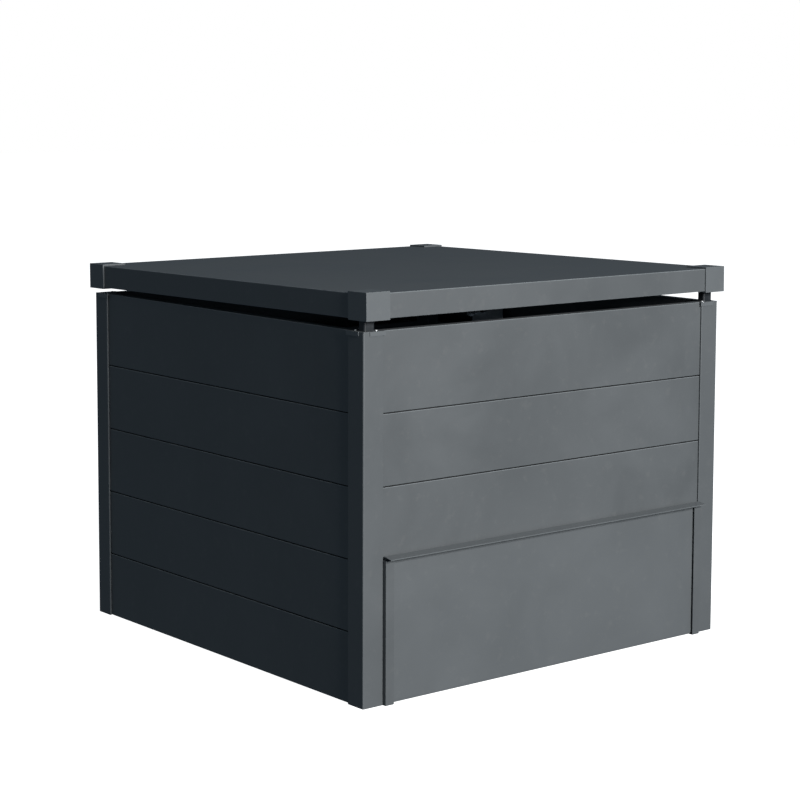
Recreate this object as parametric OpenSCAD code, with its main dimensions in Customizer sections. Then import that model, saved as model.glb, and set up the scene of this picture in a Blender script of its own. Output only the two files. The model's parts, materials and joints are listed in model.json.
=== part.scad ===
// Sheet-metal garden storage box with a rear-hinged lid and a lift-up flap in its front.
// X runs across the front, Y from front to back, Z up.
// The origin is the middle of the footprint on the ground.

/* [Box] */
// Width across the front, over the corner posts
box_w = 1000; // [700:10:1400]
// Depth from front to back, over the corner posts
box_d = 1000; // [820:10:1400]

/* [Boards] */
// Boards stacked in each side
board_count = 5; // [4:1:6]
// Height of one board under the top one
board_h = 146; // [120:1:180]
// Height of the top board
top_board_h = 162.5; // [150:0.5:190]
// Thickness of one folded board
board_t = 22; // [16:1:30]
// Sheet that the boards are folded from
board_sheet = 0.8; // [0.6:0.1:1.2]
// Outside radius of the boards' folds
board_bend = 1.6; // [1.4:0.1:2.6]
// Height of the groove between two boards
groove_h = 2.4; // [1:0.1:4]
// Depth of that groove
groove_d = 5; // [2:0.5:8]
// Height of the lips along a board's back
board_lip = 35; // [30:1:45]
// Gap under the lowest boards
board_lift = 0.5; // [0:0.5:6]
// How far the boards' faces lie behind the posts' faces
board_inset = 4; // [4:0.5:8]

/* [Corner posts] */
// Width of a post's flange on each face of the box
post_flange = 50; // [44:1:70]
// Sheet that the posts are folded from
post_sheet = 2; // [1.5:0.1:2.5]
// Outside radius of a post's corner fold
post_bend = 3; // [2.6:0.2:5]
// Width of the hem along a post's free edges
post_hem = 12; // [8:1:14]
// Height that a post cap folds down over the post
cap_fold = 9; // [6:1:14]

/* [Flap] */
// Boards that the flap takes the place of
flap_rows = 2; // [1:1:3]
// Sheet that the flap and its guides are folded from
flap_sheet = 1.5; // [1:0.1:2]
// How far the flap's face stands in front of the posts
flap_proud = 3; // [2:0.5:6]
// Thickness of the flap at its folded edges
flap_edge_t = 4; // [3.5:0.5:5]
// How far the flap reaches up over the board above it
flap_cover = 8; // [6:0.5:14]
// How far the lip along the flap's top reaches out
flap_lip = 20; // [14:1:30]
// How far that lip drops towards its edge
flap_lip_drop = 4; // [0:0.5:4]
// Width of a guide's face
guide_w = 21; // [18:1:30]
// How far a guide's face stands in front of the flap
guide_proud = 5.7; // [4:0.1:8]

/* [Lid] */
// Height of the lid's folded rim
lid_h = 50; // [45:1:70]
// Sheet that the lid is folded from
lid_sheet = 1; // [0.8:0.1:2]
// How far the rim stands out over the posts at the sides
lid_over_side = 1; // [1:0.1:10]
// How far the rim stands out over the posts at the front
lid_over_front = 11.9; // [4:0.1:20]
// How far the rim stands out over the posts at the back
lid_over_back = 12.4; // [10:0.1:16]
// Gap between the sides and the rim at the back
lid_gap = 13; // [11:0.5:20]
// Fall of the closed lid towards the back, in degrees
lid_slope = 0.67; // [0.3:0.01:1.2]
// Width of the fold under the rim
lid_fold = 15; // [12:1:18]
// Leg of a lid corner cap
lid_cap_leg = 55; // [50:1:70]

/* [Hinges and strut] */
// Distance of each hinge from the middle of the box
hinge_x = 300; // [180:5:310]
// Radius of a hinge pin
pin_r = 3; // [2.5:0.1:3.5]
// Depth of the strut's lower stud below the top of the sides
strut_drop = 92; // [88:1:120]
// Distance of the strut's lower stud in front of the box's back face
strut_from_back = 215; // [190:5:250]
// Distance of the strut's upper stud in front of the hinge axis
strut_reach = 628; // [600:2:660]

/* [Hidden] */
$fn = 48;
EPS = 0.01;            // overlap of joined pieces, and how far a cut runs past what it cuts
FIT = 0.05;            // radial clearance of a running fit
PLAY = 0.5;            // clearance between pieces that move past each other
SCREW_R = 2.1;         // shank radius of every screw
HEAD_R = 4.2;          // head radius of every screw
HEAD_H = 2;            // head height of every screw
HOLE_R = SCREW_R + 0.15;
SCREW_PAST = 6;        // how far a screw reaches past the sheets that it joins
HOLE_HALF = 5;         // half the length of a hole through a sheet

PAINT = [0.36, 0.39, 0.41];
PAINT_DARK = [0.30, 0.33, 0.35];
ZINC = [0.72, 0.73, 0.74];
BLACK_ZINC = [0.16, 0.16, 0.17];
PLASTIC = [0.10, 0.10, 0.11];
CHROME = [0.80, 0.80, 0.82];

SIDES = ["left", "right", "back"];
CORNERS = ["front_left", "front_right", "back_left", "back_right"];

// Boards and posts
side_top = board_lift + (board_count - 1) * board_h + top_board_h;
board_gap = board_inset + board_t + 2;          // from a box corner to a board's end
board_back = board_inset + board_t;             // from the posts' face to the boards' back
cap_plate = 2;                                  // thickness of a post cap's top
cap_reach = 15;                                 // where a post cap's folds start, from the corner
cap_over = 4;                                   // how far they run past the post's flanges
cap_skin = 1.6;                                 // thickness of a post cap's folds
cap_inset = 0.5;                                // gap around a post cap's plate
cap_tongue_w = 10;                              // tongue of a post cap in the end of a top board
cap_tongue_t = 2;
cap_tongue_in = board_gap - 3;                  // where a tongue starts, from a box corner
cap_tongue_back = board_inset + board_bend + 1; // from the posts' face to a tongue
cap_screw_in = board_gap + 11;                  // from a box corner along a side
cap_screw_back = cap_tongue_back + 3.4;         // from the posts' face
cap_screw_r = 1.5;
cap_screw_len = 8;
cap_screw_head_r = 2.8;
cap_screw_head_h = 1.8;
angle_t = 2;                                    // thickness of an inner angle
angle_leg = post_flange - 10;
screw_rise = board_lip / 2;                     // from a board's lower edge to its screws
screw_in = post_flange - 3;                     // from a box corner to the boards' screws

// Flap and guides
flap_bottom = 1.5;
flap_top = board_z(flap_rows + 1) + flap_cover;
flap_edge_x = box_w / 2 - post_flange - 4;
flap_lip_x = box_w / 2 - post_flange - 1;
flap_lip_edge = 2;                              // height of the lip's edge
flap_hem = 12;                                  // width of the flap's folded edges
flap_foot = 6;                                  // height of the fold along the flap's bottom
flap_foot_back = 2;                             // how far that fold leans back
guide_front = flap_proud + guide_proud;
guide_slot_back = flap_edge_t - flap_proud + PLAY;   // back of the slot, behind the posts' faces
guide_top = board_z(flap_rows + 1) - PLAY;
guide_screws = 3;
guide_screw_in = (post_flange + flap_sheet + board_back + angle_leg) / 2;   // from a box corner

// Lid, measured from the hinge axis while the lid is level
hinge_behind = 5.6;                             // from the lid's back rim to the hinge axis
hinge_rise = 1;                                 // from the top of the sides to the hinge axis
hinge_y = box_d / 2 + lid_over_back + hinge_behind;
hinge_z = side_top + hinge_rise;
knuckle_r = pin_r + 2;
rim_low = side_top + lid_gap - hinge_z;
rim_high = rim_low + lid_h;
lid_half = box_w / 2 + lid_over_side;
lid_back = box_d / 2 + lid_over_back - hinge_y;
lid_front = -box_d / 2 - lid_over_front - hinge_y;
lid_cap_skin = 3.4;                             // how far a corner cap stands out from the rim
lid_cap_top = 3.4;                              // how far it stands above the lid
lid_cap_low = 2.7;                              // how far it reaches below the rim
lid_cap_foot = 30;                              // width of its fold under the rim
rib_x = hinge_x / 2;
rib_w = 60;
rib_h = 20;
rib_flange = 14;

// Hinges
hinge_w = 80;
leaf_t = 2;
leaf_drop = 56;                                 // how far a body leaf reaches down from the axis
leaf_rise = 50;                                 // how far a lid leaf reaches up from the axis
knuckle_mid = 30;                               // length of the lid's knuckle
leaf_neck = 8;                                  // from a body leaf's plate up to the axis
leaf_screw_x = 26;                              // of the outer screws, from the leaf's middle
leaf_screw_ends = [14, 34];                     // outer and middle screws above a body leaf's lower edge
rim_screw_ends = [28, 14];                      // outer and middle screws above the rim's lower edge
pin_head_r = knuckle_r - PLAY;
pin_head_t = 2;

// Buffers under the lid's front corners
buffer_in = 9;                                  // from the posts' faces
buffer_w = board_gap - 2;
buffer_d = board_gap - buffer_in;
buffer_clear = 0.3;                             // gap under the lid's corner caps
buffer_r = 4;
buffer_foot = 0.8;                              // how far its foot stands out around it
buffer_foot_h = 2;
buffer_peg_r = 4;
buffer_peg_h = 8;
buffer_top = lid_underside(-box_d / 2 + buffer_in + buffer_d) - buffer_clear;

// Strut: its lower stud is on the right wall, its upper stud on the lid
strut_x = box_w / 2 - board_back - 20;
strut_y = box_d / 2 - strut_from_back;
strut_z = side_top - strut_drop;
strut_lid_z = rim_low + 18;                     // upper stud above the hinge axis, lid level
strut_end = lid_point(-strut_reach, strut_lid_z);
strut_run = [strut_end[0] - strut_y, strut_end[1] - strut_z];
strut_len = norm(strut_run);
strut_tilt = atan2(-strut_run[0], strut_run[1]);
stud_r = 4;
eye_r = 8;
eye_t = 10;
neck_r = 4.8;                                   // between an eye and the rod or the tube
neck_len = 20;                                  // from the lower stud to the rod
rod_r = 4;
tube_r = 9.5;
tube_wall = 2;
tube_start = 45;                                // from the lower stud to the tube's open end
tube_guide = 10;                                // length of the tube's rod guide
tube_plug = 8;                                  // thickness of the tube's closed end
tube_end = strut_len - eye_r - 3;
piston_t = 12;
piston_at = tube_end - tube_plug - piston_t - 2;
bracket_t = 2;
collar_r = stud_r + 2;                          // end of the lower stud
collar_t = 2;
wall_bracket_back = 14;                         // plate behind the lower stud
wall_bracket_len = 113;
wall_bracket_top = 19;                          // plate above the lower stud
wall_bracket_low = 10;                          // plate below its screws
wall_bracket_end = 12;                          // from its screws to its ends
wall_bracket_screw_z = board_z(board_count) + screw_rise;
wall_bracket_screw_y = [
    for (d = [wall_bracket_end, wall_bracket_len - wall_bracket_end]) strut_y + wall_bracket_back - d
];
lid_bracket_out = 16;                           // from the strut's middle to its outer face
lid_bracket_drop = 12;                          // plate below the upper stud
lid_bracket_len = 70;
lid_bracket_w = 28;

function board_z(i) = board_lift + (i - 1) * board_h;
function board_height(i) = i == board_count ? top_board_h : board_h;
function side_len(side) = (side == "front" || side == "back") ? box_w : box_d;
function corner_x(name) = (name == "front_left" || name == "back_left") ? -1 : 1;
function corner_y(name) = (name == "front_left" || name == "front_right") ? -1 : 1;

// Where a point of the level lid, given from the hinge axis, lies once the lid is closed: [y, z]
function lid_point(y, z) = [
    hinge_y + y * cos(lid_slope) + z * sin(lid_slope),
    hinge_z - y * sin(lid_slope) + z * cos(lid_slope)
];
// Of two heights, that of a leaf's outer screws or that of the screw in its middle, where x is 0
function outer_or_middle(x, heights) = heights[x == 0 ? 1 : 0];
function body_screw_z(x) = hinge_z - leaf_drop + outer_or_middle(x, leaf_screw_ends);

// Height of the underside of the corner caps above the place y
function lid_underside(y) =
    hinge_z + (rim_low - lid_cap_low) / cos(lid_slope) + (hinge_y - y) * tan(lid_slope);

// ---- Places ----

// A local frame whose corner is the box's corner, with the inside of the box towards +x and +y
module at_corner(name) {
    translate([corner_x(name) * box_w / 2, corner_y(name) * box_d / 2, 0])
        mirror([corner_x(name) > 0 ? 1 : 0, 0, 0])
            mirror([0, corner_y(name) > 0 ? 1 : 0, 0])
                children();
}

// A local frame with x along a side, y into the box from the posts' faces, and z up
module on_side(side) {
    turn = side == "front" ? 0 : side == "left" ? -90 : side == "right" ? 90 : 180;
    out = (side == "front" || side == "back") ? box_d / 2 : box_w / 2;
    rotate([0, 0, turn]) translate([0, -out, 0]) children();
}

// The lid's pieces are drawn level, from the hinge axis, and lowered onto the buffers
module closed_lid() {
    translate([0, hinge_y, hinge_z]) rotate([-lid_slope, 0, 0]) children();
}

// Extrudes an outline drawn in (y, z) along x
module along_x(length) {
    rotate([90, 0, 90]) linear_extrude(length, center = true) children();
}

// A cylinder along +y from its origin
module rod_y(r, length) {
    rotate([-90, 0, 0]) cylinder(r = r, h = length);
}

// A cylinder along x, about its middle
module rod_x(r, length) {
    rotate([0, 90, 0]) cylinder(r = r, h = length, center = true);
}

// A screw whose head rests on the plane y = 0 and whose shank runs along +y
module screw_y(length) {
    rod_y(SCREW_R, length);
    translate([0, -HEAD_H, 0]) rod_y(HEAD_R, HEAD_H);
}

// ---- Outlines ----

module rounded_rect(w, h, r) {
    translate([r, 0]) square([w - 2 * r, h]);
    translate([0, r]) square([w, h - 2 * r]);
    for (x = [r, w - r], y = [r, h - r]) translate([x, y]) circle(r);
}

// An angle of equal legs with a rounded fold, its corner at the origin
module angle_outline(leg, t, r) {
    translate([r, 0]) square([leg - r, t]);
    translate([0, r]) square([t, leg - r]);
    translate([r, r]) intersection() {
        difference() {
            circle(r);
            circle(r - t);
        }
        translate([-r, -r]) square(r);
    }
}

// A board's outline, set in all round, whose upper front edge lies step_h lower than its top
module board_skin(h, step_h, inset) {
    translate([inset, inset])
        rounded_rect(board_t - 2 * inset, h - step_h - 2 * inset, board_bend - inset);
    translate([groove_d + inset, inset])
        rounded_rect(board_t - groove_d - 2 * inset, h - 2 * inset, board_bend - inset);
}

// A board's section: a sheet folded back along both long edges, with a lip behind each fold
module board_outline(h, step_h) {
    difference() {
        board_skin(h, step_h, 0);
        board_skin(h, step_h, board_sheet);
        translate([board_t - 2 * board_sheet, board_lip]) square([3 * board_sheet, h - 2 * board_lip]);
    }
}

// ---- Sides ----

// An angle whose free edges are folded back into hems, where the boards' screws end
module corner_post(name) {
    color(PAINT) at_corner(name) difference() {
        linear_extrude(side_top - cap_plate) {
            angle_outline(post_flange, post_sheet, post_bend);
            translate([post_flange - post_hem, 0]) square([post_hem, board_inset]);
            translate([0, post_flange - post_hem]) square([board_inset, post_hem]);
        }
        for (leg_x = [true, false]) angle_screw_places(name, leg_x)
            translate([0, angle_t + board_t - EPS, 0]) rod_y(HOLE_R, board_inset - post_sheet + EPS);
    }
}

// Draws something along x, in a corner's frame, and again along y
module both_ways() {
    children();
    mirror([1, 0, 0]) rotate([0, 0, 90]) children();
}

module post_cap(name) {
    fold_len = post_flange + cap_over - cap_reach;
    tongue_len = cap_screw_in + cap_tongue_w / 2 - cap_tongue_in;
    color(PAINT) at_corner(name) difference() {
        union() {
            translate([cap_inset, cap_inset, side_top - cap_plate])
                cube([board_gap - 2 * cap_inset, board_gap - 2 * cap_inset, cap_plate]);
            both_ways() {
                translate([cap_reach, -cap_skin, side_top - cap_plate])
                    cube([fold_len, board_inset + cap_skin - cap_inset, cap_plate]);
                translate([cap_reach, -cap_skin, side_top - cap_fold])
                    cube([fold_len, cap_skin, cap_fold]);
                translate([cap_tongue_in, cap_tongue_back, side_top - board_sheet - cap_tongue_t])
                    cube([tongue_len, cap_tongue_w, cap_tongue_t]);
            }
        }
        both_ways() cap_screw_place() hole_z(cap_screw_r + FIT);
        if (corner_y(name) < 0) buffer_middle() hole_z(buffer_peg_r);
    }
}

module cap_screw_place() {
    translate([cap_screw_in, cap_screw_back, side_top]) children();
}

module post_cap_screws() {
    color(ZINC) for (c = CORNERS) at_corner(c) both_ways() cap_screw_place() {
        translate([0, 0, -cap_screw_len]) cylinder(r = cap_screw_r, h = cap_screw_len);
        cylinder(r = cap_screw_head_r, h = cap_screw_head_h);
    }
}

module inner_angle(name) {
    color(PAINT_DARK) at_corner(name) difference() {
        translate([board_back, board_back, 0]) linear_extrude(side_top - cap_plate)
            angle_outline(angle_leg, angle_t, angle_t + 1);
        angle_screw_places(name, true) rod_hole();
        angle_screw_places(name, false) rod_hole();
        if (corner_y(name) < 0) guide_screw_places() rod_hole();
    }
}

// A screw's hole along y through a sheet that lies near the plane y = 0
module rod_hole() {
    translate([0, -HOLE_HALF, 0]) rod_y(HOLE_R, 2 * HOLE_HALF);
}

// A hole along z through sheets that lie near the plane z = 0
module hole_z(r) {
    translate([0, 0, -HOLE_HALF]) cylinder(r = r, h = 2 * HOLE_HALF);
}

// The screws of one leg of an inner angle, in the corner's frame, heads on the angle's inner face.
// The leg along x holds the front or back boards, and the leg along y holds the left or right ones.
module angle_screw_places(name, leg_x) {
    start = (leg_x && corner_y(name) < 0) ? flap_rows + 1 : 1;
    for (i = [start : board_count]) translate([0, 0, board_z(i) + screw_rise]) {
        if (leg_x) translate([screw_in, board_back + angle_t, 0]) rotate([0, 0, 180]) children();
        else translate([board_back + angle_t, screw_in, 0]) rotate([0, 0, 90]) children();
    }
}

module board_screws() {
    length = angle_t + board_t + board_inset - post_sheet - FIT;
    color(BLACK_ZINC) for (c = CORNERS, leg_x = [true, false])
        at_corner(c) angle_screw_places(c, leg_x) screw_y(length);
}

// Holes right through a board, one near each end
module board_end_holes(length) {
    for (s = [-1, 1]) translate([s * (length / 2 - screw_in), board_inset - EPS, screw_rise])
        rod_y(HOLE_R, board_t + 2 * EPS);
}

// Holes through the top of a top board, one near each end
module cap_screw_holes(length) {
    for (s = [-1, 1]) translate([s * (length / 2 - cap_screw_in), cap_screw_back, top_board_h])
        hole_z(cap_screw_r + FIT);
}

module board(side, i) {
    length = side_len(side);
    step_h = i == board_count ? 0 : groove_h;
    color(PAINT) on_side(side) translate([0, 0, board_z(i)]) difference() {
        translate([0, board_inset, 0])
            along_x(length - 2 * board_gap) board_outline(board_height(i), step_h);
        board_end_holes(length);
        if (i == board_count) cap_screw_holes(length);
        if (side == "back" && i == board_count)
            translate([0, board_inset, -board_z(i)]) hinge_holes_in_back();
        if (side == "right" && i == board_count) strut_holes_in_side(-board_z(i));
    }
}

// ---- Flap and its guides ----

// Sections of the flap, as (out from its face, up): its sheet with the fold along its bottom
module flap_face_outline() {
    t = flap_sheet;
    polygon([
        [-t - flap_foot_back, flap_bottom], [-flap_foot_back, flap_bottom], [0, flap_bottom + flap_foot],
        [0, flap_top - t], [-t, flap_top - t], [-t, flap_bottom + flap_foot]
    ]);
}

// The lip along its top, which reaches further than the face at both ends
module flap_lip_outline() {
    t = flap_sheet;
    edge_top = flap_top - flap_lip_drop;
    polygon([
        [-t, flap_top - 2 * t], [0, flap_top - 2 * t], [0, flap_top - t],
        [flap_lip - t, edge_top - t], [flap_lip - t, edge_top - flap_lip_edge],
        [flap_lip, edge_top - flap_lip_edge], [flap_lip, edge_top],
        [0, flap_top], [-t, flap_top - t / 2]
    ]);
}

module flap() {
    face = -box_d / 2 - flap_proud;
    low = flap_bottom + flap_foot;
    rise = flap_top - flap_sheet - low;
    color(PAINT) translate([0, face, 0]) {
        mirror([0, 1, 0]) along_x(2 * flap_edge_x) flap_face_outline();
        mirror([0, 1, 0]) along_x(2 * flap_lip_x) flap_lip_outline();
        for (s = [-1, 1]) {
            translate([s * (flap_edge_x - flap_sheet / 2), flap_edge_t / 2, low + rise / 2])
                cube([flap_sheet, flap_edge_t, rise], center = true);
            translate([s * (flap_edge_x - flap_hem / 2), flap_edge_t - flap_sheet / 2, low + rise / 2])
                cube([flap_hem, flap_sheet, rise], center = true);
        }
    }
}

module guide_outline() {
    t = flap_sheet;
    difference() {
        translate([post_flange, -guide_front]) square([guide_w, guide_front + board_back]);
        translate([post_flange + t, t - guide_front])
            square([guide_w, guide_front + guide_slot_back - t]);
        translate([post_flange + t, guide_slot_back + t])
            square([guide_w, board_back - guide_slot_back - 2 * t]);
    }
}

// A channel for the flap's edge, with a fold across its lower end that the flap rests on
module flap_guide(name) {
    t = flap_sheet;
    color(PAINT) at_corner(name) difference() {
        union() {
            linear_extrude(guide_top) guide_outline();
            translate([post_flange + t / 2, t / 2 - guide_front, 0])
                cube([guide_w - t / 2, guide_front + guide_slot_back, flap_bottom - PLAY]);
        }
        guide_screw_places() rod_hole();
    }
}

module guide_screw_places() {
    step = guide_top / guide_screws;
    for (i = [0 : guide_screws - 1])
        translate([guide_screw_in, board_back + angle_t, (i + 0.5) * step])
            rotate([0, 0, 180]) children();
}

module guide_screws_all() {
    color(BLACK_ZINC) for (c = ["front_left", "front_right"])
        at_corner(c) guide_screw_places() screw_y(angle_t + flap_sheet + SCREW_PAST);
}

// ---- Buffers ----

module buffer_middle() {
    translate([buffer_in + buffer_w / 2, buffer_in + buffer_d / 2, side_top]) children();
}

module lid_buffer(name) {
    foot = buffer_foot;
    color(PLASTIC) at_corner(name) {
        translate([buffer_in, buffer_in, side_top]) linear_extrude(buffer_top - side_top)
            rounded_rect(buffer_w, buffer_d, buffer_r);
        translate([buffer_in - foot, buffer_in - foot, side_top]) linear_extrude(buffer_foot_h)
            rounded_rect(buffer_w + 2 * foot, buffer_d + 2 * foot, buffer_r + foot);
        buffer_middle() translate([0, 0, -buffer_peg_h])
            cylinder(r = buffer_peg_r - FIT, h = buffer_peg_h + EPS);
    }
}

// ---- Lid ----

module lid_box(low, high, inset) {
    translate([-lid_half + inset, lid_front + inset, low])
        cube([2 * (lid_half - inset), lid_back - lid_front - 2 * inset, high - low]);
}

module lid_panel() {
    color(PAINT_DARK) closed_lid() difference() {
        lid_box(rim_low, rim_high, 0);
        lid_box(rim_low + lid_sheet, rim_high - lid_sheet, lid_sheet);
        lid_box(rim_low - EPS, rim_low + 2 * lid_sheet, lid_fold);
        hinge_lid_screw_places() rod_hole();
    }
}

// The section of a rib: a channel open towards the lid, with a flange along each edge
module rib_outline() {
    difference() {
        union() {
            square([rib_w, rib_h]);
            translate([-rib_flange, rib_h - lid_sheet]) square([rib_w + 2 * rib_flange, lid_sheet]);
        }
        translate([lid_sheet, lid_sheet]) square([rib_w - 2 * lid_sheet, rib_h]);
    }
}

module lid_rib(side) {
    color(PAINT_DARK) closed_lid()
        translate([side * rib_x - rib_w / 2, lid_back - lid_sheet, rim_high - lid_sheet - rib_h])
            rotate([90, 0, 0]) linear_extrude(lid_back - lid_front - 2 * lid_sheet) rib_outline();
}

// A local frame at a corner of the level lid, with the lid towards +x and +y
module at_lid_corner(name) {
    y = corner_y(name) < 0 ? lid_front : lid_back;
    translate([corner_x(name) * lid_half, y, 0])
        mirror([corner_x(name) > 0 ? 1 : 0, 0, 0])
            mirror([0, corner_y(name) > 0 ? 1 : 0, 0])
                children();
}

module lid_cap(name) {
    low = rim_low - lid_cap_low;
    high = rim_high + lid_cap_top;
    color(PAINT) closed_lid() at_lid_corner(name) difference() {
        translate([-lid_cap_skin, -lid_cap_skin, low])
            cube([lid_cap_leg + lid_cap_skin, lid_cap_leg + lid_cap_skin, high - low]);
        translate([0, 0, rim_low]) cube([lid_cap_leg + EPS, lid_cap_leg + EPS, lid_h]);
        translate([lid_cap_foot, lid_cap_foot, low - EPS])
            cube([lid_cap_leg, lid_cap_leg, lid_cap_low + 2 * EPS]);
    }
}

// ---- Hinges ----

module knuckle(length) {
    difference() {
        rod_x(knuckle_r, length);
        rod_x(pin_r + FIT, length + EPS);
    }
}

// The body leaf: a plate on the back boards, with a shelf out to the two outer knuckles
module hinge_body_leaf(side) {
    plate_y = box_d / 2 - board_inset - hinge_y;
    shelf = -plate_y - pin_r - PLAY;
    outer = (hinge_w - knuckle_mid) / 2 - PLAY;
    color(PAINT_DARK) translate([side * hinge_x, hinge_y, hinge_z]) difference() {
        union() {
            translate([-hinge_w / 2, plate_y, -leaf_drop]) cube([hinge_w, leaf_t, leaf_drop - leaf_neck]);
            for (s = [-1, 1]) translate([s * (hinge_w - outer) / 2, 0, 0]) {
                translate([-outer / 2, plate_y, -leaf_neck - EPS])
                    cube([outer, leaf_t, leaf_neck + leaf_t / 2]);
                translate([-outer / 2, plate_y, -leaf_t / 2]) cube([outer, shelf, leaf_t]);
                rod_x(knuckle_r, outer);
            }
        }
        rod_x(pin_r + FIT, hinge_w + EPS);
        translate([0, -hinge_y, -hinge_z]) hinge_body_screw_places() rod_hole();
    }
}

// The screws of one body leaf, about the leaf's middle
module hinge_body_screw_places() {
    for (x = [-leaf_screw_x, 0, leaf_screw_x])
        translate([x, box_d / 2 - board_inset + leaf_t, body_screw_z(x)])
            rotate([0, 0, 180]) children();
}

module hinge_body_screws() {
    color(BLACK_ZINC) for (side = [-1, 1]) translate([side * hinge_x, 0, 0])
        hinge_body_screw_places() screw_y(leaf_t + board_sheet + SCREW_PAST);
}

// The same holes in the frame of the back boards, from the boards' faces
module hinge_holes_in_back() {
    for (side = [-1, 1], x = [-leaf_screw_x, 0, leaf_screw_x])
        translate([side * hinge_x + x, 0, body_screw_z(x)]) rod_hole();
}

// The lid leaf: a plate on the lid's back rim, with one knuckle in the middle
module hinge_lid_leaf(side) {
    plate_low = rim_low - 1;
    color(PAINT_DARK) closed_lid() difference() {
        translate([side * hinge_x, 0, 0]) {
            translate([-hinge_w / 2, lid_back, plate_low])
                cube([hinge_w, leaf_t, leaf_rise - plate_low]);
            translate([-knuckle_mid / 2, lid_back, leaf_t])
                cube([knuckle_mid, leaf_t, plate_low - leaf_t + EPS]);
            knuckle(knuckle_mid);
        }
        hinge_lid_screw_places() rod_hole();
        translate([side * hinge_x, 0, 0]) rod_x(pin_r + FIT, knuckle_mid + EPS);
    }
}

module hinge_lid_screw_places() {
    for (side = [-1, 1], x = [-leaf_screw_x, 0, leaf_screw_x])
        translate([side * hinge_x + x, lid_back + leaf_t, rim_low + outer_or_middle(x, rim_screw_ends)])
            rotate([0, 0, 180]) children();
}

module hinge_lid_screws() {
    color(BLACK_ZINC) closed_lid() hinge_lid_screw_places() screw_y(leaf_t + lid_sheet + SCREW_PAST);
}

module hinge_pin(side) {
    color(ZINC) translate([side * hinge_x, hinge_y, hinge_z]) {
        rod_x(pin_r, hinge_w + pin_head_t);
        for (s = [-1, 1]) translate([s * (hinge_w + pin_head_t) / 2, 0, 0]) rod_x(pin_head_r, pin_head_t);
    }
}

// ---- Gas strut ----

// A local frame at the strut's lower stud, with +z along the strut
module on_strut() {
    translate([strut_x, strut_y, strut_z]) rotate([strut_tilt, 0, 0]) children();
}

module strut_eye() {
    difference() {
        rod_x(eye_r, eye_t);
        rod_x(stud_r + FIT, eye_t + EPS);
    }
}

module strut_rod() {
    color(CHROME) on_strut() {
        strut_eye();
        difference() {
            cylinder(r = neck_r, h = neck_len);
            rod_x(stud_r + FIT, eye_t + EPS);
        }
        translate([0, 0, eye_r]) cylinder(r = rod_r, h = piston_at - eye_r + EPS);
        translate([0, 0, piston_at]) cylinder(r = tube_r - tube_wall - FIT, h = piston_t);
    }
}

module strut_tube() {
    color(PLASTIC) on_strut() {
        difference() {
            translate([0, 0, tube_start]) cylinder(r = tube_r, h = tube_end - tube_start);
            translate([0, 0, tube_start + tube_guide])
                cylinder(r = tube_r - tube_wall, h = tube_end - tube_plug - tube_start - tube_guide);
            translate([0, 0, tube_start - EPS]) cylinder(r = rod_r + FIT, h = tube_guide + 2 * EPS);
        }
        translate([0, 0, tube_end - EPS]) cylinder(r = neck_r, h = strut_len - tube_end);
        translate([0, 0, strut_len]) rod_x(eye_r, eye_t);
    }
}

// The lower stud passes through the rod's eye and ends in a collar
module strut_wall_bracket() {
    plate_x = box_w / 2 - board_back;
    stud_stop = strut_x - eye_t / 2 - PLAY;
    low = wall_bracket_screw_z - wall_bracket_low;
    color(ZINC) {
        difference() {
            translate([plate_x - bracket_t, strut_y + wall_bracket_back - wall_bracket_len, low])
                cube([bracket_t, wall_bracket_len, strut_z + wall_bracket_top - low]);
            wall_bracket_screw_places() rod_hole();
        }
        translate([(plate_x - bracket_t + stud_stop) / 2, strut_y, strut_z])
            rod_x(stud_r, plate_x - bracket_t - stud_stop);
        translate([stud_stop - collar_t / 2, strut_y, strut_z]) rod_x(collar_r, collar_t);
    }
}

// The bracket's screws, heads on its inner face and shanks out through the board
module wall_bracket_screw_places() {
    for (y = wall_bracket_screw_y)
        translate([box_w / 2 - board_back - bracket_t, y, wall_bracket_screw_z])
            rotate([0, 0, -90]) children();
}

module strut_wall_screws() {
    color(BLACK_ZINC) wall_bracket_screw_places() screw_y(bracket_t + board_sheet + SCREW_PAST);
}

// The same holes in the frame of a right-hand board, which starts drop below the frame's origin
module strut_holes_in_side(drop) {
    for (y = wall_bracket_screw_y)
        translate([y, board_back, wall_bracket_screw_z + drop]) rod_hole();
}

// The upper stud stops just short of the tube's socket, which is closed on its far side
module strut_lid_bracket() {
    plate_x = strut_x + lid_bracket_out;
    stud_stop = strut_x + eye_t / 2 + PLAY;
    top = rim_high - lid_sheet;
    color(ZINC) closed_lid() translate([0, -strut_reach, 0]) {
        translate([plate_x - bracket_t, -lid_bracket_len / 2, strut_lid_z - lid_bracket_drop])
            cube([bracket_t, lid_bracket_len, top - strut_lid_z + lid_bracket_drop]);
        translate([plate_x - bracket_t, -lid_bracket_len / 2, top - bracket_t])
            cube([lid_bracket_w, lid_bracket_len, bracket_t]);
        translate([(plate_x - bracket_t + stud_stop) / 2, 0, strut_lid_z])
            rod_x(stud_r, plate_x - bracket_t - stud_stop);
    }
}

// ---- Nodes ----

for (c = CORNERS) {
    corner_post(c);
    post_cap(c);
    inner_angle(c);
    lid_cap(c);
}
for (s = SIDES, i = [1 : board_count]) {
    board(s, i);
}
for (i = [flap_rows + 1 : board_count]) {
    board("front", i);
}
for (s = [[-1, "left"], [1, "right"]]) {
    flap_guide(str("front_", s[1]));
    lid_buffer(str("front_", s[1]));
    lid_rib(s[0]);
    hinge_body_leaf(s[0]);
    hinge_lid_leaf(s[0]);
    hinge_pin(s[0]);
}
board_screws();
post_cap_screws();
guide_screws_all();  // guide_screws
flap();
lid_panel();
hinge_body_screws();
hinge_lid_screws();
strut_wall_bracket();
strut_wall_screws();
strut_lid_bracket();
strut_rod();
strut_tube();
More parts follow.
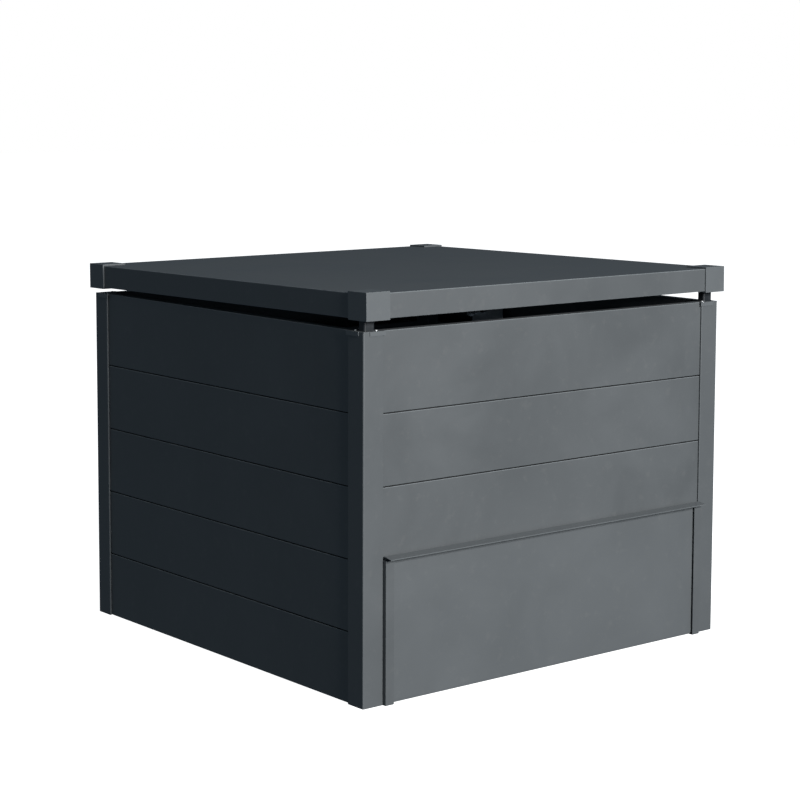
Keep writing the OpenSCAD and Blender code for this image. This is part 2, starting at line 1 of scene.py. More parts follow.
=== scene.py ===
"""Fine shapes and finishes for a sheet-metal garden storage box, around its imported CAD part.

Lengths are in metres, in the CAD part's own frame: X across the front, Y from front to back, Z up.
"""

import json
import math

import bmesh
import bpy
import numpy as np
from mathutils import Matrix, Vector

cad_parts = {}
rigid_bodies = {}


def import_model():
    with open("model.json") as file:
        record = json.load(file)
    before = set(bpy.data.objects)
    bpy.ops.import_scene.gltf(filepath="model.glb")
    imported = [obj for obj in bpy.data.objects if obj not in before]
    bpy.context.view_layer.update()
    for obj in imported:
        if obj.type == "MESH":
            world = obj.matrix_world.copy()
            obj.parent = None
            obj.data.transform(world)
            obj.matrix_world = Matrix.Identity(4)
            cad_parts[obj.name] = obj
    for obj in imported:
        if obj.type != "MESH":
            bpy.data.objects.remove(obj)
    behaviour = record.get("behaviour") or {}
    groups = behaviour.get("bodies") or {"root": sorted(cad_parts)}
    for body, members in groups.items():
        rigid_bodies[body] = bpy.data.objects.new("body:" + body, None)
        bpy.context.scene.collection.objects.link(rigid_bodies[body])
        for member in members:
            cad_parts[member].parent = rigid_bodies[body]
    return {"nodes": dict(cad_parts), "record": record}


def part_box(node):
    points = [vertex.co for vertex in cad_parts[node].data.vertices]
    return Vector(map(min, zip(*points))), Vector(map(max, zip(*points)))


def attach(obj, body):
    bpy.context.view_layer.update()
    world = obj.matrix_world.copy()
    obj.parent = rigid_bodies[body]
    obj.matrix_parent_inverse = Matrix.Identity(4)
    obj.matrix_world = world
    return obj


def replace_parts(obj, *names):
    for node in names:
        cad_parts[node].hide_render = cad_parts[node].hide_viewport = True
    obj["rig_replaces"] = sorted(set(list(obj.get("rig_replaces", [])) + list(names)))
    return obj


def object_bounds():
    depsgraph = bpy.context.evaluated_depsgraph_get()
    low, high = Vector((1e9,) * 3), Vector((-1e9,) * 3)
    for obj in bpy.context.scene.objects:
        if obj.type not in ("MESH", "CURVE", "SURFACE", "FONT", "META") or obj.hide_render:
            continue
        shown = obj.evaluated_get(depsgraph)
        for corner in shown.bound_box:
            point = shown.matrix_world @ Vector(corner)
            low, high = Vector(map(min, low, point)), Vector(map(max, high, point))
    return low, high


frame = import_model()
cad_low, cad_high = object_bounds()
record = frame["record"]

BODY_OF = {node: body for body, nodes in record["behaviour"]["bodies"].items() for node in nodes}
SLOT_OF = {part["node"]: part["material_slot"] for part in record["subparts"]}
JOINTS = {joint["name"]: joint for joint in record["behaviour"]["joints"]}
CORNERS = ("front_left", "front_right", "back_left", "back_right")

MM = 0.001
BOARD_SHEET = 0.8 * MM
BOARD_BEND = 1.6 * MM
BOARD_LIP = 35 * MM
GROOVE_HEIGHT = 2.4 * MM
GROOVE_DEPTH = 5 * MM
POST_SHEET = 2 * MM
POST_BEND = 3 * MM
POST_HEM = 12 * MM
LID_SHEET = 1 * MM
LID_BEND = 2 * MM
LID_FOLD = 15 * MM
LID_SLOPE = math.radians(0.67)
BOARD_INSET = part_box("left_board_1")[0].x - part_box("corner_post_front_left")[0].x


# ---- Meshes ----


def rounded(corners, steps=5):
    """A closed outline from (x, y, radius) corners, each rounded to its radius."""
    points = []
    for i, (x, y, radius) in enumerate(corners):
        here = Vector((x, y))
        if radius == 0:
            points.append(here)
            continue
        before = (Vector(corners[i - 1][:2]) - here).normalized()
        after = (Vector(corners[(i + 1) % len(corners)][:2]) - here).normalized()
        half = before.angle(after) / 2
        centre = here + (before + after).normalized() * (radius / math.sin(half))
        start = here + before * (radius / math.tan(half)) - centre
        end = here + after * (radius / math.tan(half)) - centre
        turn = math.atan2(start.cross(end), start.dot(end))
        points += [centre + Matrix.Rotation(turn * k / steps, 2) @ start for k in range(steps + 1)]
    return points


def mesh_from(name, points, faces):
    """A mesh with its faces turned outwards."""
    mesh = bpy.data.meshes.new(name)
    mesh.from_pydata([tuple(p) for p in points], [], faces)
    work = bmesh.new()
    work.from_mesh(mesh)
    bmesh.ops.recalc_face_normals(work, faces=work.faces)
    work.to_mesh(mesh)
    work.free()
    return mesh


def stacked_rings(name, rings):
    """A mesh whose rings of equal count are joined one to the next, with its two ends filled."""
    count = len(rings[0])
    last = (len(rings) - 1) * count
    faces = [tuple(range(count)), tuple(range(last, last + count))]
    for low in range(0, last, count):
        for i in range(count):
            j = (i + 1) % count
            faces.append((low + i, low + j, low + count + j, low + count + i))
    return mesh_from(name, [p for ring in rings for p in ring], faces)


def add_object(name, mesh):
    made = bpy.data.objects.new(name, mesh)
    bpy.context.scene.collection.objects.link(made)
    return made


def baked(piece):
    """Gives the piece the mesh that its modifiers make, and takes them off."""
    graph = bpy.context.evaluated_depsgraph_get()
    graph.update()
    mesh = bpy.data.meshes.new_from_object(piece.evaluated_get(graph), depsgraph=graph)
    piece.modifiers.clear()
    piece.data = mesh
    return piece


def refined(node, width):
    """A copy of a CAD node whose sharp edges are rounded."""
    mesh = frame["nodes"][node].data.copy()
    work = bmesh.new()
    work.from_mesh(mesh)
    bmesh.ops.remove_doubles(work, verts=work.verts, dist=1e-6)
    bmesh.ops.dissolve_limit(work, angle_limit=math.radians(0.5), verts=work.verts, edges=work.edges)
    sharp = [e for e in work.edges if len(e.link_faces) == 2 and e.calc_face_angle(0) > math.radians(40)]
    bmesh.ops.bevel(work, geom=sharp, offset=width, segments=3, profile=0.5, affect="EDGES",
                    clamp_overlap=True, miter_outer="SHARP", miter_inner="SHARP")
    mesh.clear_geometry()
    work.to_mesh(mesh)
    work.free()
    return add_object(node + "_fine", mesh)


def mark_edges(mesh):
    """Stores how far each face corner turns away from the three axes, as attribute edge.

    It is 1 halfway round a fold.
    """
    normals = np.empty(len(mesh.loops) * 3, np.float32)
    mesh.corner_normals.foreach_get("vector", normals)
    straight = np.abs(normals.reshape(-1, 3)).max(1)
    turned = np.clip((1 - straight) / (1 - math.sqrt(0.5)), 0, 1)
    mesh.attributes.new("edge", "FLOAT", "CORNER").data.foreach_set("value", turned)


def mark_grooves(mesh, across, face):
    """Stores 1 for the points on the step behind a board's face, as attribute groove, and 0 for the rest;
    the coat paints shade where it is 1.
    """
    places = np.empty(len(mesh.vertices) * 3, np.float32)
    mesh.vertices.foreach_get("co", places)
    depth = np.abs(places.reshape(-1, 3)[:, across] - face) / GROOVE_DEPTH
    inside = (depth > 0.3) & (depth < 1.07)
    mesh.attributes.new("groove", "FLOAT", "POINT").data.foreach_set("value", inside.astype(np.float32))


def finished(piece, finish, *nodes, sharp=38):
    """Smooths a piece, gives it its finish and lets it stand for its CAD nodes."""
    for face in piece.data.polygons:
        face.use_smooth = True
    piece.data.set_sharp_from_angle(angle=math.radians(sharp))
    weighted = piece.modifiers.new("flat faces", "WEIGHTED_NORMAL")
    weighted.keep_sharp = True
    baked(piece)
    mark_edges(piece.data)
    piece.data.materials.clear()
    piece.data.materials.append(finish)
    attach(piece, BODY_OF[nodes[0]])
    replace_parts(piece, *nodes)
    return piece


# ---- Finishes ----


def feed(tree, socket, value):
    if isinstance(value, bpy.types.NodeSocket):
        tree.links.new(value, socket)
    else:
        socket.default_value = value


def add_node(tree, kind, inputs=None, **settings):
    made = tree.nodes.new(kind)
    for name, value in settings.items():
        setattr(made, name, value)
    for name, value in (inputs or {}).items():
        feed(tree, made.inputs[name], value)
    return made


def noise(tree, place, scale, detail=3.0, roughness=0.5, distortion=0.0):
    made = add_node(tree, "ShaderNodeTexNoise", {
        "Vector": place, "Scale": scale, "Detail": detail, "Roughness": roughness, "Distortion": distortion,
    })
    return made.outputs["Fac"]


def ramp(tree, value, low, high, to_low=0.0, to_high=1.0):
    """Maps the span low to high of a value on to the span to_low to to_high, and holds it beyond."""
    made = add_node(tree, "ShaderNodeMapRange", {
        "Value": value, "From Min": low, "From Max": high, "To Min": to_low, "To Max": to_high,
    })
    return made.outputs["Result"]


def multiply(tree, first, second):
    made = add_node(tree, "ShaderNodeMath", operation="MULTIPLY")
    feed(tree, made.inputs[0], first)
    feed(tree, made.inputs[1], second)
    return made.outputs[0]


def blend(tree, share, first, second):
    """Colour first where share is 0, and second where it is 1."""
    made = add_node(tree, "ShaderNodeMix", data_type="RGBA")
    feed(tree, made.inputs["Factor"], share)
    feed(tree, made.inputs[6], first)
    feed(tree, made.inputs[7], second)
    return made.outputs[2]


def shade(colour, factor):
    return (colour[0] * factor, colour[1] * factor, colour[2] * factor, 1.0)


def new_finish(name):
    """A material with its node tree, its surface shader and the place on the object."""
    material = bpy.data.materials.new(name)
    material.use_nodes = True
    tree = material.node_tree
    shader = tree.nodes["Principled BSDF"]
    place = add_node(tree, "ShaderNodeTexCoord").outputs["Object"]
    return material, tree, shader, place


def bump(tree, shader, height, distance, strength=1.0):
    made = add_node(tree, "ShaderNodeBump", {"Height": height, "Distance": distance, "Strength": strength})
    feed(tree, shader.inputs["Normal"], made.outputs["Normal"])


def powder_coat(name, colour, roughness, cloud=0.10, fold_wear_and_highlight=0.9):
    """Powder-coated sheet: a fine pebbled skin, cloudy sheen, faint dust, painted highlights on the folds
    mottled like wear, and painted shade in the grooves.
    """
    material, tree, shader, place = new_finish(name)
    clouds = noise(tree, place, 4.5, 4.0, 0.55, 0.6)
    grain = noise(tree, place, 1400.0, 2.0)
    dust = ramp(tree, noise(tree, place, 38.0, 8.0, 0.7), 0.56, 0.78)
    edge = add_node(tree, "ShaderNodeAttribute", attribute_name="edge").outputs["Fac"]
    fold = ramp(tree, edge, 0.05, 0.5)
    # Mask for a painted highlight on the folds, where light catches them, broken up by noise like worn-thin
    # paint.
    worn_and_lit_folds = multiply(tree, fold, ramp(tree, noise(tree, place, 60.0, 5.0, 0.7), 0.3, 0.7, 0.45, 1.0))
    tone = blend(tree, ramp(tree, clouds, 0.3, 0.7), shade(colour, 1 - cloud), shade(colour, 1 + cloud))
    tone = blend(tree, ramp(tree, grain, 0.25, 0.75, 0.0, 0.16), tone, shade(colour, 1.7))
    tone = blend(tree, multiply(tree, dust, 0.10), tone, (0.30, 0.29, 0.27, 1.0))
    # Painted highlight: folds lightened towards 2.7 times the paint colour, partly wear, mostly light on the
    # bends.
    tone = blend(tree, multiply(tree, worn_and_lit_folds, fold_wear_and_highlight), tone, shade(colour, 2.7))
    # Painted shade: where attribute groove is 1, the coat turns to a tenth of its colour, for the shade in
    # the recess behind each board's face.
    groove = add_node(tree, "ShaderNodeAttribute", attribute_name="groove").outputs["Fac"]
    tone = blend(tree, groove, tone, shade(colour, 0.10))
    feed(tree, shader.inputs["Base Color"], tone)
    feed(tree, shader.inputs["Roughness"], ramp(tree, clouds, 0.3, 0.7, roughness - 0.05, roughness + 0.06))
    shader.inputs["Specular IOR Level"].default_value = 0.5
    peel = noise(tree, place, 520.0, 2.0, 0.6)
    bump(tree, shader, peel, 0.00006, 0.55)
    return material


def zinc_plate(name):
    """Bright zinc: cloudy passivation and fine scratches."""
    material, tree, shader, place = new_finish(name)
    clouds = noise(tree, place, 260.0, 4.0, 0.6, 0.8)
    scratches = noise(tree, place, 3200.0, 2.0)
    tone = blend(tree, ramp(tree, clouds, 0.3, 0.7), (0.66, 0.68, 0.70, 1.0), (0.84, 0.85, 0.84, 1.0))
    feed(tree, shader.inputs["Base Color"], tone)
    # Painted reflection: set half metallic, so the pale zinc colour shows bright by itself in place of the
    # bright reflections real zinc would give.
    shader.inputs["Metallic"].default_value = 0.5
    feed(tree, shader.inputs["Roughness"], ramp(tree, clouds, 0.25, 0.75, 0.26, 0.44))
    bump(tree, shader, scratches, 0.00002, 0.5)
    return material


def black_zinc(name):
    """Black-passivated zinc: a dark satin film, worn thin in patches."""
    material, tree, shader, place = new_finish(name)
    patches = noise(tree, place, 420.0, 4.0, 0.6, 0.5)
    worn = ramp(tree, patches, 0.45, 0.75)
    tone = blend(tree, worn, (0.030, 0.031, 0.034, 1.0), (0.075, 0.076, 0.078, 1.0))
    feed(tree, shader.inputs["Base Color"], tone)
    shader.inputs["Metallic"].default_value = 0.4
    feed(tree, shader.inputs["Roughness"], ramp(tree, patches, 0.3, 0.7, 0.38, 0.55))
    bump(tree, shader, noise(tree, place, 2600.0, 2.0), 0.00002, 0.5)
    return material


def moulded_plastic(name):
    """Black plastic with a fine moulded grain and a little dust."""
    material, tree, shader, place = new_finish(name)
    dust = ramp(tree, noise(tree, place, 90.0, 6.0, 0.7), 0.45, 0.75)
    tone = blend(tree, multiply(tree, dust, 0.18), (0.013, 0.016, 0.019, 1.0), (0.045, 0.052, 0.060, 1.0))
    feed(tree, shader.inputs["Base Color"], tone)
    feed(tree, shader.inputs["Roughness"], ramp(tree, dust, 0.0, 1.0, 0.42, 0.6))
    bump(tree, shader, noise(tree, place, 1600.0, 3.0), 0.00006, 0.6)
    return material


def ground_chrome(name):
    """A ground and chromed rod: fine rings round it and an oil film."""
    material, tree, shader, place = new_finish(name)
    film = noise(tree, place, 45.0, 5.0, 0.6)
    tone = blend(tree, ramp(tree, film, 0.35, 0.65), (0.66, 0.66, 0.68, 1.0), (0.80, 0.80, 0.81, 1.0))
    feed(tree, shader.inputs["Base Color"], tone)
    shader.inputs["Metallic"].default_value = 1.0
    feed(tree, shader.inputs["Roughness"], ramp(tree, film, 0.3, 0.7, 0.10, 0.22))
    bump(tree, shader, noise(tree, place, 2400.0, 1.0), 0.00001, 0.3)
    return material


def gloss_black(name):
    """Stoved black gloss with faint ripple and dust."""
    material, tree, shader, place = new_finish(name)
    dust = ramp(tree, noise(tree, place, 70.0, 6.0, 0.7), 0.5, 0.8)
    tone = blend(tree, multiply(tree, dust, 0.3), (0.012, 0.012, 0.013, 1.0), (0.09, 0.09, 0.085, 1.0))
    feed(tree, shader.inputs["Base Color"], tone)
    feed(tree, shader.inputs["Roughness"], ramp(tree, dust, 0.0, 1.0, 0.2, 0.42))
    bump(tree, shader, noise(tree, place, 300.0, 2.0), 0.00004, 0.4)
    return material


ANTHRACITE = (0.0870, 0.0945, 0.0990)
FINISHES = {
    "board_paint": powder_coat("board_coat", ANTHRACITE, 0.46),
    "post_paint": powder_coat("post_coat", shade(ANTHRACITE, 1.03), 0.44, cloud=0.05, fold_wear_and_highlight=0.25),
    "lid_paint": powder_coat("lid_coat", ANTHRACITE, 0.45, cloud=0.06),
    # Painted light: the flap's coat is the same anthracite made 1.12 times lighter, standing in for brighter
    # light on the flap.
    "flap_paint_painted_light": powder_coat("flap_coat_painted_light", shade(ANTHRACITE, 1.12), 0.44, cloud=0.05),
    # Painted sheen: the caps' coat is the same anthracite made 1.22 times lighter, standing in for the light
    # their fronts catch.
    "cap_paint": powder_coat("cap_coat_painted_sheen", shade(ANTHRACITE, 1.22), 0.40, cloud=0.05),
    "inner_paint": powder_coat("inner_coat", shade(ANTHRACITE, 0.85), 0.55, cloud=0.05),
    "zinc_plate": zinc_plate("zinc_coat"),
    "black_zinc": black_zinc("black_zinc_coat"),
    "black_plastic": moulded_plastic("plastic_grain"),
    "chromed_rod": ground_chrome("chrome_ground"),
    "black_tube": gloss_black("tube_gloss"),
}


def finish_of(node):
    return FINISHES["flap_paint_painted_light" if node == "flap" else SLOT_OF[node]]


# ---- Boards ----


def new_tree(name, inputs):
    """A geometry tree that takes and gives geometry, with its named inputs, and its two end nodes."""
    tree = bpy.data.node_groups.new(name, "GeometryNodeTree")
    tree.interface.new_socket("Geometry", in_out="INPUT", socket_type="NodeSocketGeometry")
    for label, kind in inputs:
        tree.interface.new_socket(label, in_out="INPUT", socket_type=kind)
    tree.interface.new_socket("Geometry", in_out="OUTPUT", socket_type="NodeSocketGeometry")
    return tree, tree.nodes.new("NodeGroupInput").outputs, tree.nodes.new("NodeGroupOutput").inputs


def grown(name, mesh, tree, values):
    """The plain mesh that a geometry tree makes from a mesh and its named inputs."""
    piece = add_object(name, mesh)
    modifier = piece.modifiers.new("grow", "NODES")
    modifier.node_group = tree
    for item in tree.interface.items_tree:
        if item.in_out == "INPUT" and item.name in values:
            modifier[item.identifier] = values[item.name]
    return baked(piece)


def board_stack_tree():
    """Extrudes a board's section along Run and stacks Rows of it, Rise apart, each set in by up to Slack."""
    tree, given, result = new_tree("board_stack", [
        ("Run", "NodeSocketVector"), ("Rows", "NodeSocketInt"), ("Rise", "NodeSocketFloat"),
        ("Slack", "NodeSocketVector"), ("Seed", "NodeSocketInt"), ("Paint", "NodeSocketMaterial"),
    ])
    length = add_node(tree, "GeometryNodeExtrudeMesh", {
        "Mesh": given["Geometry"], "Offset": given["Run"], "Offset Scale": 1.0, "Individual": False,
    }, mode="FACES")
    start = add_node(tree, "GeometryNodeFlipFaces", {"Mesh": given["Geometry"]})
    join = add_node(tree, "GeometryNodeJoinGeometry")
    tree.links.new(length.outputs["Mesh"], join.inputs[0])
    tree.links.new(start.outputs["Mesh"], join.inputs[0])
    board = add_node(tree, "GeometryNodeMergeByDistance", {"Geometry": join.outputs[0], "Distance": 1e-6})
    up = add_node(tree, "ShaderNodeCombineXYZ", {"Z": given["Rise"]})
    rows = add_node(tree, "GeometryNodeMeshLine", {
        "Count": given["Rows"], "Start Location": (0.0, 0.0, 0.0), "Offset": up.outputs[0],
    })
    slack = add_node(tree, "FunctionNodeRandomValue", {"Seed": given["Seed"], 1: given["Slack"]},
                     data_type="FLOAT_VECTOR")
    feed(tree, slack.inputs[0], (0.0, 0.0, 0.0))
    set_in = add_node(tree, "GeometryNodeSetPosition", {
        "Geometry": rows.outputs[0], "Offset": slack.outputs[0],
    })
    stack = add_node(tree, "GeometryNodeInstanceOnPoints", {
        "Points": set_in.outputs[0], "Instance": board.outputs[0],
    })
    real = add_node(tree, "GeometryNodeRealizeInstances", {"Geometry": stack.outputs[0]})
    paint = add_node(tree, "GeometryNodeSetMaterial", {
        "Geometry": real.outputs[0], "Material": given["Paint"],
    })
    tree.links.new(paint.outputs[0], result["Geometry"])
    return tree


def board_section(thickness, height, step):
    """A sheet folded back along both long edges, with a lip behind each fold.

    Its upper front edge is set back by the groove's depth, over the height step.
    """
    sheet, inner = BOARD_SHEET, BOARD_BEND - BOARD_SHEET
    back, cut = thickness - sheet, 0.2 * MM
    top, shoulder = height - sheet, height - step
    upper_front = [(0, height, BOARD_BEND)]
    upper_inside = [(sheet, top, inner)]
    if step:
        upper_front = [
            (GROOVE_DEPTH, height, step * 0.6), (GROOVE_DEPTH, shoulder, cut), (0, shoulder, BOARD_BEND),
        ]
        upper_inside = [
            (sheet, shoulder - sheet, inner), (GROOVE_DEPTH + sheet, shoulder - sheet, cut),
            (GROOVE_DEPTH + sheet, top, step * 0.4),
        ]
    return rounded([
        (thickness, height - BOARD_LIP, cut), (thickness, height, BOARD_BEND), *upper_front,
        (0, 0, BOARD_BEND), (thickness, 0, BOARD_BEND), (thickness, BOARD_LIP, cut), (back, BOARD_LIP, cut),
        (back, sheet, inner), (sheet, sheet, inner), *upper_inside,
        (back, top, inner), (back, height - BOARD_LIP, cut),
    ])


def board_rows(tree, name, side, nodes, step, seed):
    """Equal boards of one side, stacked from the lowest."""
    low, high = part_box(nodes[0])
    size = high - low
    across = 0 if side in ("left", "right") else 1
    outward = -1 if side in ("left", "front") else 1
    run = Vector((0, 0, 0))
    run[1 - across] = size[1 - across]
    points = []
    for u, v in board_section(size[across], size.z, step):
        point = low.copy()
        point[across] = low[across] + u if outward < 0 else high[across] - u
        point.z += v
        points.append(point)
    slack = Vector((0, 0, 0))
    slack[across] = -outward * 0.15 * MM
    section = mesh_from(name + "_section", points, [tuple(range(len(points)))])
    if section.polygons[0].normal.dot(run) < 0:
        section.flip_normals()
    stack = grown(name, section, tree, {
        "Run": run, "Rows": len(nodes), "Rise": size.z, "Slack": slack, "Seed": seed,
        "Paint": finish_of(nodes[0]),
    })
    if step:
        mark_grooves(stack.data, across, low[across] if outward < 0 else high[across])
    return finished(stack, finish_of(nodes[0]), *nodes)


def board_side(tree, side, seed):
    """The boards of one side: a stack of lower ones, and the taller top one."""
    nodes = sorted(node for node in BODY_OF if node.startswith(side + "_board_"))
    board_rows(tree, side + "_boards", side, nodes[:-1], GROOVE_HEIGHT, seed)
    board_rows(tree, side + "_top_board", side, nodes[-1:], 0, seed + 1)


# ---- Posts ----


def corner_post(corner):
    """An angle with a rounded fold and rolled hems along its two free edges."""
    node = "corner_post_" + corner
    low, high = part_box(node)
    leg, hem = high.x - low.x, BOARD_INSET
    roll, cut, inner = hem * 0.46, 0.3 * MM, POST_BEND - POST_SHEET
    start = leg - POST_HEM
    outline = rounded([
        (0, 0, POST_BEND), (leg, 0, roll), (leg, hem, roll), (start, hem, cut), (start, POST_SHEET, cut),
        (POST_SHEET, POST_SHEET, inner), (POST_SHEET, start, cut), (hem, start, cut), (hem, leg, roll),
        (0, leg, roll),
    ])
    left, front = corner.endswith("left"), corner.startswith("front")
    rings = []
    for z, inset in ((low.z, 0), (high.z, 0)):
        rings.append([Vector((low.x + u if left else high.x - u, low.y + v if front else high.y - v, z))
                      for u, v in outline])
    post = add_object(node + "_fine", stacked_rings(node, rings))
    return finished(post, finish_of(node), node)


# ---- Lid ----


def lid_frame():
    """The matrix from the level lid, measured from the hinge axis, to the closed lid."""
    hinge = Vector(JOINTS["lid_hinge"]["pos_m"])
    return Matrix.Translation(hinge) @ Matrix.Rotation(-LID_SLOPE, 4, "X")


def level_lid():
    """Front, back, underside and top of the level lid panel, from the hinge axis."""
    low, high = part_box("lid_panel")
    hinge = Vector(JOINTS["lid_hinge"]["pos_m"])
    c, s = math.cos(LID_SLOPE), math.sin(LID_SLOPE)
    equations = [[c, 0, s, 0], [0, c, 0, s], [0, -s, c, 0], [-s, 0, 0, c]]
    known = [low.y - hinge.y, high.y - hinge.y, low.z - hinge.z, high.z - hinge.z]
    return np.linalg.solve(equations, known)


def lid_panel():
    """A sheet folded down into a rim all round, and folded in again under it."""
    front, back, under, top = level_lid()
    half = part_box("lid_panel")[1].x
    place = lid_frame()

    def ring(inset, z):
        radius = max(LID_BEND - inset, 0.3 * MM)
        corners = [(-half + inset, front + inset, radius), (half - inset, front + inset, radius),
                   (half - inset, back - inset, radius), (-half + inset, back - inset, radius)]
        return [place @ Vector((x, y, z)) for x, y in rounded(corners, 4)]

    def bend(radius, middle_z, start):
        """A quarter round of the rim's section about (bend, middle_z), from the angle start."""
        angles = [start + math.pi / 2 * k / 5 for k in range(6)]
        return [(LID_BEND + radius * math.cos(a), middle_z + radius * math.sin(a)) for a in angles]

    lower, upper = under + LID_BEND, top - LID_BEND
    inner = LID_BEND - LID_SHEET
    outside = bend(LID_BEND, lower, math.pi)[::-1] + bend(LID_BEND, upper, math.pi / 2)[::-1]
    inside = bend(inner, upper, math.pi / 2) + bend(inner, lower, math.pi)
    section = inside + [(LID_FOLD, under + LID_SHEET), (LID_FOLD, under)] + outside
    panel = add_object("lid_sheet", stacked_rings("lid_sheet", [ring(d, z) for d, z in section]))
    return finished(panel, finish_of("lid_panel"), "lid_panel")


# ---- Screws ----


def screw_rows_tree():
    """Sets a screw on every point, turned to the point's facing and spun at random about its own axis."""
    tree, given, result = new_tree("screw_rows", [
        ("Screw", "NodeSocketObject"), ("Seed", "NodeSocketInt"), ("Finish", "NodeSocketMaterial"),
    ])
    screw = add_node(tree, "GeometryNodeObjectInfo", {"Object": given["Screw"], "As Instance": True})
    facing = add_node(tree, "GeometryNodeInputNamedAttribute", {"Name": "facing"}, data_type="FLOAT_VECTOR")
    aim = add_node(tree, "FunctionNodeAlignRotationToVector", {
        "Vector": facing.outputs["Attribute"],
    }, axis="Z")
    spin = add_node(tree, "FunctionNodeRandomValue", {"Seed": given["Seed"]}, data_type="FLOAT")
    feed(tree, spin.inputs[3], math.tau)
    about = add_node(tree, "FunctionNodeAxisAngleToRotation", {
        "Axis": (0.0, 0.0, 1.0), "Angle": spin.outputs[1],
    })
    turned = add_node(tree, "FunctionNodeRotateRotation", {
        "Rotation": aim.outputs[0], "Rotate By": about.outputs[0],
    }, rotation_space="LOCAL")
    placed = add_node(tree, "GeometryNodeInstanceOnPoints", {
        "Points": given["Geometry"], "Instance": screw.outputs["Geometry"], "Rotation": turned.outputs[0],
    })
    real = add_node(tree, "GeometryNodeRealizeInstances", {"Geometry": placed.outputs[0]})
    finish = add_node(tree, "GeometryNodeSetMaterial", {
        "Geometry": real.outputs[0], "Material": given["Finish"],
    })
    tree.links.new(finish.outputs[0], result["Geometry"])
    return tree


def solids_of(node):
    """The corners of each separate solid of a CAD node, as arrays of points."""
    work = bmesh.new()
    work.from_mesh(frame["nodes"][node].data)
    bmesh.ops.remove_doubles(work, verts=work.verts, dist=1e-6)
    left, solids = set(work.verts), []
    while left:
        reached, waiting = set(), [left.pop()]
        while waiting:
            vertex = waiting.pop()
            reached.add(vertex)
            near = [e.other_vert(vertex) for e in vertex.link_edges]
            fresh = [v for v in near if v in left]
            left.difference_update(fresh)
            waiting += fresh
        solids.append(np.array([v.co for v in reached]))
    work.free()
    return solids


def screw_sizes(points, tilt):
    """The place under a screw's head, the way that it faces, and its sizes.

    The sizes are the shank's radius and length, and the head's radius and height.
    """
    span = points.max(0) - points.min(0)
    axis = np.zeros(3)
    axis[span.argmax()] = 1
    axis = np.array(tilt @ Vector(axis))
    middle = (points.max(0) + points.min(0)) / 2
    along = (points - middle) @ axis
    radius = np.linalg.norm(points - middle - np.outer(along, axis), axis=1)
    head = along[radius > radius.max() * 0.9]
    if head.mean() < 0:
        axis, along, head = -axis, -along, -head
    shank = radius[np.abs(along - along.min()) < 1e-4].max()
    seat = head.min()
    return middle + axis * seat, axis, shank, seat - along.min(), radius.max(), along.max() - seat


# A pan head from its rim to the bottom of its recess, in shares of the head's radius and height.
# The last value of each ring is 1 where it follows the six lobes of the recess.
PAN_HEAD = (
    (0.97, 0, 0), (1, 0.12, 0), (0.985, 0.45, 0), (0.88, 0.78, 0), (0.70, 0.95, 0), (0.56, 1, 0),
    (0.50, 1, 1), (0.46, 0.93, 1), (0.44, 0.35, 1), (0.2, 0.30, 0),
)


def screw_mesh(shank, length, head, height):
    """A pan-head screw with a six-lobed recess and a threaded shank, its head towards +Z."""
    count = 36
    lobes = [1 + 0.13 * math.cos(6 * math.tau * i / count) for i in range(count)]
    rings = [(shank * 0.25, -length, 0), (shank * 0.8, -length + shank, 0)]
    pitch, z = 1.4 * MM, -length + shank
    while z < -2 * pitch:
        rings += [(shank * 0.98, z + pitch * 0.3, 0), (shank * 0.78, z + pitch * 0.8, 0)]
        z += pitch
    rings += [(shank * 0.9, -pitch, 0), (shank * 0.9, 0, 0)]
    rings += [(head * out, height * up, lobed) for out, up, lobed in PAN_HEAD]
    circles = []
    for radius, z, lobed in rings:
        reach = [radius * (lobe if lobed else 1) for lobe in lobes]
        circle = []
        for i in range(count):
            turn = math.tau * i / count
            circle.append(Vector((reach[i] * math.cos(turn), reach[i] * math.sin(turn), z)))
        circles.append(circle)
    return stacked_rings("screw", circles)


def screws(tree, node, seed):
    """All the screws of a CAD node, as one piece."""
    tilt = lid_frame().to_3x3() if BODY_OF[node] == "lid" else Matrix.Identity(3)
    found = [screw_sizes(points, tilt) for points in solids_of(node)]
    points = mesh_from(node + "_points", [place for place, *_ in found], [])
    facing = points.attributes.new("facing", "FLOAT_VECTOR", "POINT")
    facing.data.foreach_set("vector", np.array([axis for _, axis, *_ in found], np.float32).ravel())
    pattern = add_object(node + "_pattern", screw_mesh(*found[0][2:]))
    group = grown(node + "_fine", points, tree, {"Screw": pattern, "Seed": seed, "Finish": finish_of(node)})
    bpy.data.objects.remove(pattern)
    return finished(group, finish_of(node), node)


# ---- Everything in place ----

board_stack = board_stack_tree()
for number, side in enumerate(("front", "left", "right", "back")):
    board_side(board_stack, side, 11 + 2 * number)
for corner in CORNERS:
    corner_post(corner)
lid_panel()
screw_rows = screw_rows_tree()
SCREW_NODES = [node for node in BODY_OF if node.endswith("_screws")]
for number, node in enumerate(SCREW_NODES):
    screws(screw_rows, node, 31 + number)

SHARP_FOLDS = {"flap": 12}
ROUNDING = {
    "post_cap": 0.35, "inner_angle": 0.5, "lid_cap": 0.35, "lid_rib": 0.4, "flap": 0.6, "lid_buffer": 1.2,
    "hinge": 0.4, "strut": 0.5,
}
shown = {node for piece in bpy.context.scene.objects for node in piece.get("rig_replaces", [])}
for node in BODY_OF:
    if node not in shown:
        width = next(ROUNDING[start] for start in ROUNDING if node.startswith(start))
        finished(refined(node, width * MM), finish_of(node), node, sharp=SHARP_FOLDS.get(node, 38))


# ---- Floor, light and camera ----


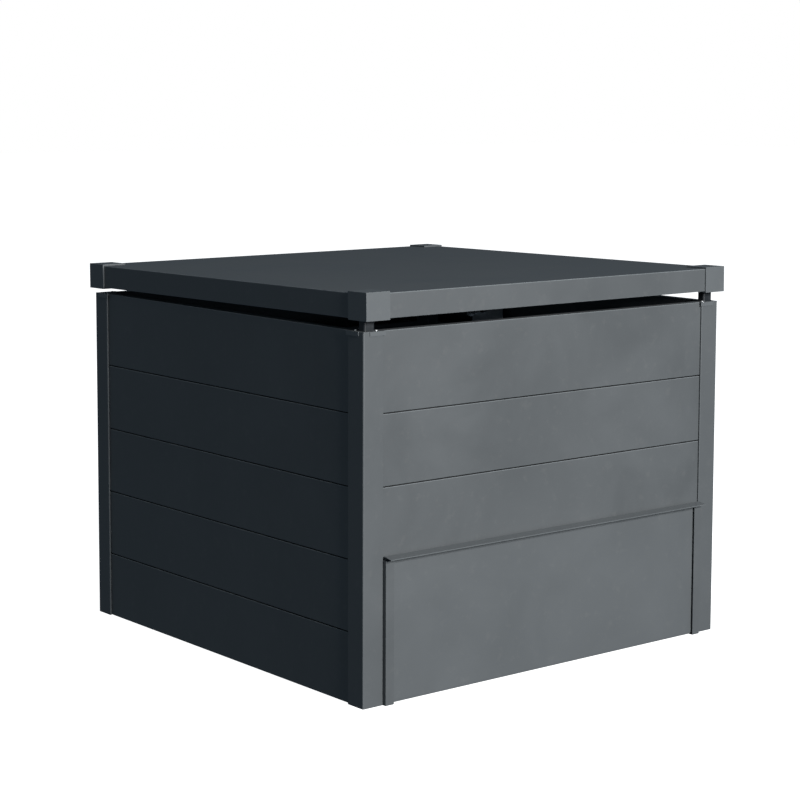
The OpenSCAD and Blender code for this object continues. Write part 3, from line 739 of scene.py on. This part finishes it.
def pale_floor():
    """A wide pale floor with a faint mottle."""
    corners = [(-30, -30, 0), (30, -30, 0), (30, 30, 0), (-30, 30, 0)]
    floor = add_object("studio_floor", mesh_from("floor", corners, [(0, 1, 2, 3)]))
    floor.location.z = cad_low.z - 0.5 * MM
    material, tree, shader, place = new_finish("floor_pale")
    tone = blend(tree, noise(tree, place, 1.5, 3.0), (0.80, 0.80, 0.80, 1.0), (0.84, 0.84, 0.84, 1.0))
    feed(tree, shader.inputs["Base Color"], tone)
    feed(tree, shader.inputs["Emission Color"], tone)
    shader.inputs["Emission Strength"].default_value = 1.25
    shader.inputs["Roughness"].default_value = 0.9
    floor.data.materials.append(material)
    floor.visible_diffuse = False
    floor.visible_glossy = False
    return floor


def soft_light(name, place, target, size, power):
    data = bpy.data.lights.new(name, "AREA")
    data.shape = "RECTANGLE"
    data.size, data.size_y = size
    data.energy = power
    light = bpy.data.objects.new(name, data)
    bpy.context.scene.collection.objects.link(light)
    light.location = place
    light.rotation_euler = (Vector(target) - Vector(place)).to_track_quat("-Z", "Y").to_euler()
    return light


def studio_world(seen, cast):
    """A plain world, seen as a pale backdrop, which casts a dimmer light on the object."""
    world = bpy.data.worlds.new("studio")
    world.use_nodes = True
    tree = world.node_tree
    back = tree.nodes["Background"]
    path = add_node(tree, "ShaderNodeLightPath")
    tone = blend(tree, path.outputs["Is Camera Ray"], (*cast, 1.0), (seen, seen, seen, 1.0))
    feed(tree, back.inputs["Color"], tone)
    bpy.context.scene.world = world


def main_camera():
    """Looks at the box's front left corner from a little above its lid."""
    yaw, pitch, roll = math.radians(39.01), math.radians(-6.02), math.radians(0.18)
    level = math.cos(pitch)
    ahead = Vector((math.sin(yaw) * level, math.cos(yaw) * level, math.sin(pitch)))
    turn = ahead.to_track_quat("-Z", "Y") @ Matrix.Rotation(roll, 3, "Z").to_quaternion()
    data = bpy.data.cameras.new("main")
    data.lens = 94.55
    data.shift_y = -0.1146
    camera = bpy.data.objects.new("main", data)
    bpy.context.scene.collection.objects.link(camera)
    camera.location = (-2.98, -3.673, 1.219)
    camera.rotation_euler = turn.to_euler()
    bpy.context.scene.camera = camera


pale_floor()
soft_light("key", (-0.1, -8.0, 3.3), (0.0, -0.4, 0.4), (3.0, 2.6), 940)
studio_world(1.0, (0.075, 0.098, 0.120))
main_camera()
bpy.context.scene.view_settings.view_transform = "Standard"
